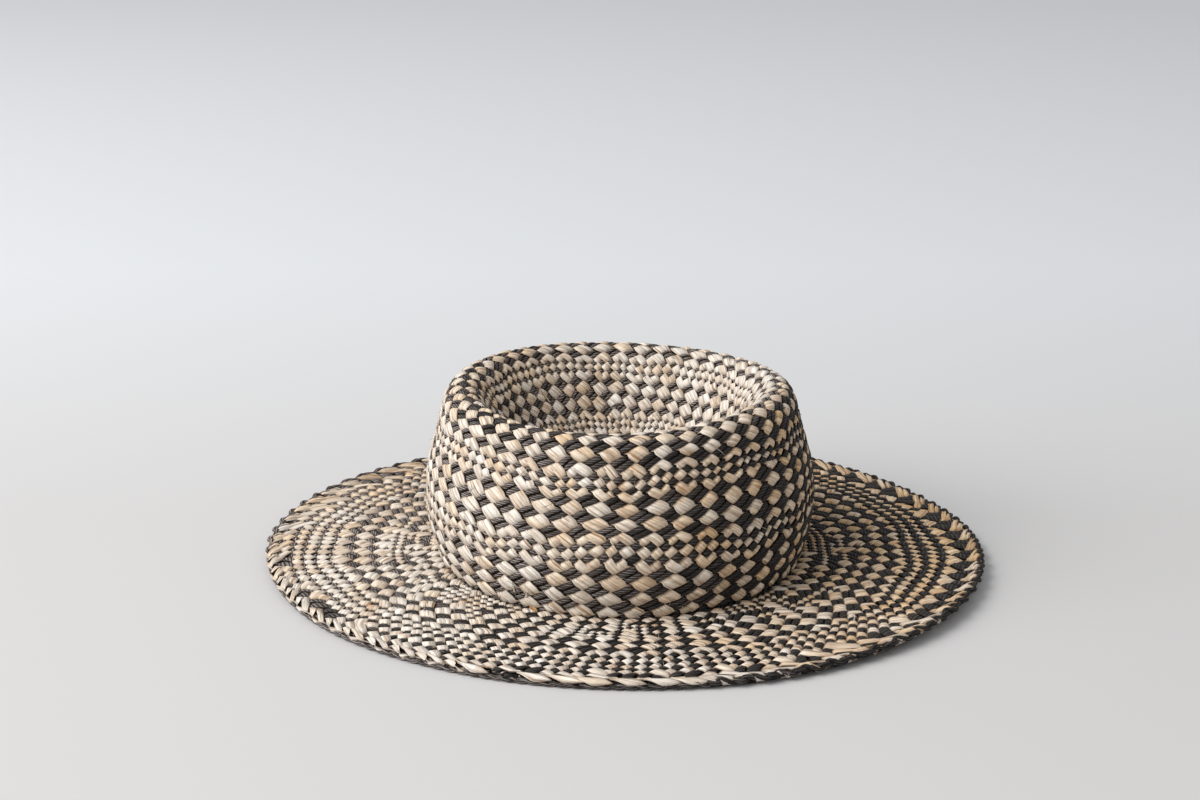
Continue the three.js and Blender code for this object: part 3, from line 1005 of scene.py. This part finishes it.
def loose_ends(surface, ends, natural=True):
    """Closed ribbons that stand clear of the plait. Each starts at a row and an angle and runs its
    length along a heading, where 0 is round the hat and 90 is up the rows. It lifts off with the
    square of the way along, bends a little aside and tapers."""
    row, angle, length, heading, lift, width = np.array(ends, float).T[..., None]
    angle = np.radians(angle)
    heading = np.radians(heading)[..., None]
    start = surface(row, angle)
    across = unit(surface(row, angle + 0.01) - surface(row, angle - 0.01))
    up = unit(surface(row + 0.1, angle) - surface(row - 0.1, angle))
    normal = unit(np.cross(across, up))
    way = across * np.cos(heading) + up * np.sin(heading)
    beside = np.cross(way, normal)
    along = np.linspace(0, 1, 8)[None]
    bend = length * random.uniform(-0.25, 0.25, row.shape) * along**2
    middle = start + MM * (length * along)[..., None] * way + MM * bend[..., None] * beside
    middle = middle + MM * (lift * along**2)[..., None] * normal
    side = MM * beside * (width / 2 * (1 - 0.75 * along**2))[..., None]
    # painted shade: an end is darker at its root, where it comes out of the plait, and on its under side
    level = np.minimum(1, 8 * along) + 0 * side[..., 0]
    tint = random.uniform(0, 0.7, row.shape) + 0 * level
    thickness = np.clip(width / 3, 0.15, 1)[..., None]
    return ribbons(middle, side, normal, level, 0 * level + 1, natural, tint, 0.0, thickness)


def chance_fibres(count, low, high):
    """Single fibres between two rows, all round the hat: for each column, a least and a greatest value
    and a random one between."""
    columns = [(low, high), (0, 360), (3, 8), (0, 360), (0.5, 2.5), (0.18, 0.35)]
    return np.stack([random.uniform(start, end, count) for start, end in columns], axis=1)


print("a loose end is given by:", ", ".join(END_COLUMNS))

# %% Loose ends
# in each row of numbers: row, angle, length in mm, heading, lift in mm, width in mm
WALL_ENDS = [(1, 236.5, 12, 84, 3, 1.1), (1.5, 238.3, 11, 97, 3.5, 0.8), (0.5, 240, 8, 60, 2.5, 1.6),
             (29, 273.5, 10, 88, 2.5, 0.25), (36, 299.5, 8, -35, 2, 0.5), (22, 220, 8, 40, 3, 0.5),
             (22, 252, 7, -20, 2.5, 0.4), (9, 268, 6, 30, 2, 0.5), (5, 200, 7, 60, 2.5, 0.8)]
TOP_ENDS = [(36.5, 148, 5, 30, 1.5, 1.1), (37, 152, 5, 165, 1.5, 0.8), (59, 129, 11, -60, 3.0, 1.3)]
DARK_ENDS = [(60.5, 89, 6, 30, 2.0, 2.6), (48, 167, 6, 20, 1.2, 1.6)]
BRIM_ENDS = [(-24, 45, 8, 70, 6, 2.2), (-22, 315.5, 6, 20, 2.5, 0.8), (-17.5, 225, 6, 140, 2, 0.7),
             (-5, 220.5, 8, 30, 2.5, 0.7), (-14, 284, 6, 160, 1.5, 0.6), (-26, 196, 7, 75, 2, 0.7)]
STAINED_WALL = [(-0.5, 241, 6, -15, 1.5, 3.0), (0.5, 233, 5, 200, 1.2, 1.6)]
STAINED_BRIM = [(-29.5, 321, 8, 160, 1.0, 1.8), (-6, 224, 6, 20, 1.2, 1.4)]

wall_sets = [loose_ends(on_crown, WALL_ENDS), loose_ends(on_crown, chance_fibres(60, 2, 34))]
dress("side_ends", wall_sets, NATURAL, "crown_side")
top_sets = [loose_ends(on_crown, TOP_ENDS), loose_ends(on_crown, chance_fibres(40, 46, 68))]
dress("tip_ends", top_sets, NATURAL, "crown_tip")
dress("tip_dark_ends", [loose_ends(on_crown, DARK_ENDS, False)], CHARCOAL, "crown_tip")
brim_sets = [loose_ends(on_brim, BRIM_ENDS), loose_ends(on_brim, chance_fibres(90, -28, -1))]
dress("brim_ends", brim_sets, NATURAL, "brim")
dress("side_stained", [loose_ends(on_crown, STAINED_WALL)], STAINED, "crown_side")
dress("brim_stained", [loose_ends(on_brim, STAINED_BRIM)], STAINED, "brim")

# %% [markdown]
# ## The edge
# At the front seven natural pairs turn over the edge, each as one broad leaf: a flat lozenge that lies
# along the roll and tucks in at both ends. The turned-back charcoal ends are twisted into a cord of two
# plies. From the left round to the front it runs low, under the leaves and the curled strands.
# Elsewhere it rides up and covers the roll, in small scallops.

# %% Leaves over the edge
ROLL_RADIUS = 2.3 * MM
LEAF_STEP = math.radians(5)  # from one natural pair to the next
LEAF_NUMBERS = np.array([49, 51, 52, 53, 54, 55, 56])
LEAF_REACH = 0.105  # radians that a leaf moves on along the edge
LEAF_LENGTH = 17  # mm
LEAF_WIDTH = 2.7 * MM  # from the leaf's middle to its side
LEAF_RINGS = 13


def level_way(angle):
    """The level direction from the hat's middle towards an angle."""
    return np.stack([np.cos(angle), np.sin(angle), 0 * angle], axis=-1)


def edge_leaves(numbers):
    """Closed leaves round the edge roll. Along a leaf, its place round the roll goes evenly from the
    inner top to the lower outside, while it moves on along the edge. It is widest in the middle."""
    count = len(numbers)
    along = np.linspace(0, 1, LEAF_RINGS)[None]
    body = np.sin(np.pi * np.clip(along, 0.02, 0.98))
    point = 1 - np.abs(2 * along - 1) ** 1.3
    centre = LEAF_STEP * (numbers[:, None] + 0.12 * random.uniform(-1, 1, (count, 1)))
    turn = centre + (along - 0.5) * LEAF_REACH * random.uniform(0.92, 1.1, (count, 1))
    place = np.radians(105 - 75 * along + 6 * random.uniform(-1, 1, (count, 1)))
    width = LEAF_WIDTH * (0.08 + 0.92 * point) * random.uniform(0.88, 1.1, (count, 1))
    round_roll = place[..., None] - SECTION_ACROSS[True] * width[..., None] / ROLL_RADIUS
    out = ROLL_RADIUS * (0.80 + 0.24 * body[..., None]**0.5) + SECTION_UP[True]
    outward_way = level_way(turn)[:, :, None]
    points = edge_point(turn)[:, :, None] + outward_way * (out * np.cos(round_roll))[..., None]
    points = points + UPRIGHT * (out * np.sin(round_roll))[..., None]
    faces = closed_tubes(count, LEAF_RINGS)
    uv = place_on_strand(along * LEAF_LENGTH * MM + random.uniform(0, 1, (count, 1)))
    # painted light: the leaves are paler towards the window
    tint = strand_tint(facing_window(turn), 0.3 * random.uniform(-1, 1, (count, 1)) - 0.1, True)
    # painted shade: a leaf is darker towards its ends, where it tucks in
    level = 0.35 + 0.65 * body**0.5 + 0 * turn
    values = {"level": np.repeat(level.ravel(), CORNERS), "tint": np.repeat(tint.ravel(), CORNERS)}
    return points.reshape(-1, 3), faces, uv, values, np.ones(len(faces), bool)


dress("edge_leaves", [edge_leaves(LEAF_NUMBERS)], NATURAL, "brim_edge")

# %% Edge cord
# how far up the roll the cord rides, at angles round the hat: 0 is under the leaves, 1 over the roll
CORD_ANGLES = np.radians([0, 60, 100, 150, 180, 195, 262, 276, 288, 360])
CORD_RISES = np.array([1, 1, 1.1, 1.2, 1.0, 0, 0, 0.3, 1, 1])
CORD_TURNS = 84
SCALLOPS = 83
PLY_SWING = 0.72 * MM
PLY_RADIUS = 0.82 * MM
PLY_RINGS = 1800
PLY_CORNERS = 8


def ply(start):
    """A closed tube round the hat. Its middle is the cord's middle plus the ply's swing, which turns
    with the angle. Slow waves in the turn make the twist tighter here and looser there."""
    angle = np.linspace(0, 2 * np.pi, PLY_RINGS, endpoint=False)
    rise = np.interp(angle, CORD_ANGLES, CORD_RISES)
    outset = (1.2 + 0.45 * rise + 0.85 * rise * np.sin(SCALLOPS * angle)) * MM
    drop = (1.15 - 2.05 * rise + 0.45 * rise * np.sin(SCALLOPS * angle + 1.5)) * MM
    thick = (0.92 + 0.33 * rise)[:, None]
    uneven = 0.9 * np.sin(3 * angle + 1) + 0.5 * np.sin(8 * angle) + 0.35 * np.sin(19 * angle + 2)
    turn = -CORD_TURNS * angle + start + uneven
    outward_way = level_way(angle)
    swing_way = outward_way * np.cos(turn)[:, None] + UPRIGHT * np.sin(turn)[:, None]
    middle = edge_point(angle) + outset[:, None] * outward_way - drop[:, None] * UPRIGHT
    middle = middle + thick * PLY_SWING * swing_way
    way = unit(np.roll(middle, -1, axis=0) - np.roll(middle, 1, axis=0))
    first = unit(swing_way - way * np.sum(swing_way * way, axis=-1, keepdims=True))
    second = np.cross(way, first)
    around = np.linspace(0, 2 * np.pi, PLY_CORNERS, endpoint=False)
    ring = first[:, None] * np.cos(around)[None, :, None] + second[:, None] * np.sin(around)[None, :, None]
    points = middle[:, None] + thick[..., None] * PLY_RADIUS * ring
    index = np.arange(PLY_RINGS * PLY_CORNERS).reshape(PLY_RINGS, PLY_CORNERS)
    ahead = np.roll(index, -1, axis=0)
    faces = np.stack([index, np.roll(index, -1, axis=1), np.roll(ahead, -1, axis=1), ahead], axis=-1)
    faces = faces.reshape(-1, 4)
    length = np.cumsum(np.linalg.norm(middle - np.roll(middle, 1, axis=0), axis=-1))
    uv = np.stack(np.broadcast_arrays(length[:, None], around[None] / (2 * np.pi)), axis=-1)
    # painted sheen: the cord is a lighter grey towards the window
    tint = strand_tint(facing_window(angle), 0.2 * np.sin(40 * angle + start) - 0.1, False)
    values = {"level": np.ones(len(points) * PLY_CORNERS), "tint": np.repeat(tint, PLY_CORNERS)}
    print("length of a ply in mm:", round(length[-1] / MM))
    return points.reshape(-1, 3), faces, uv.reshape(-1, 2), values, np.ones(len(faces), bool)


dress("edge_cord", [ply(start) for start in (0, math.pi)], CHARCOAL, "brim_edge")
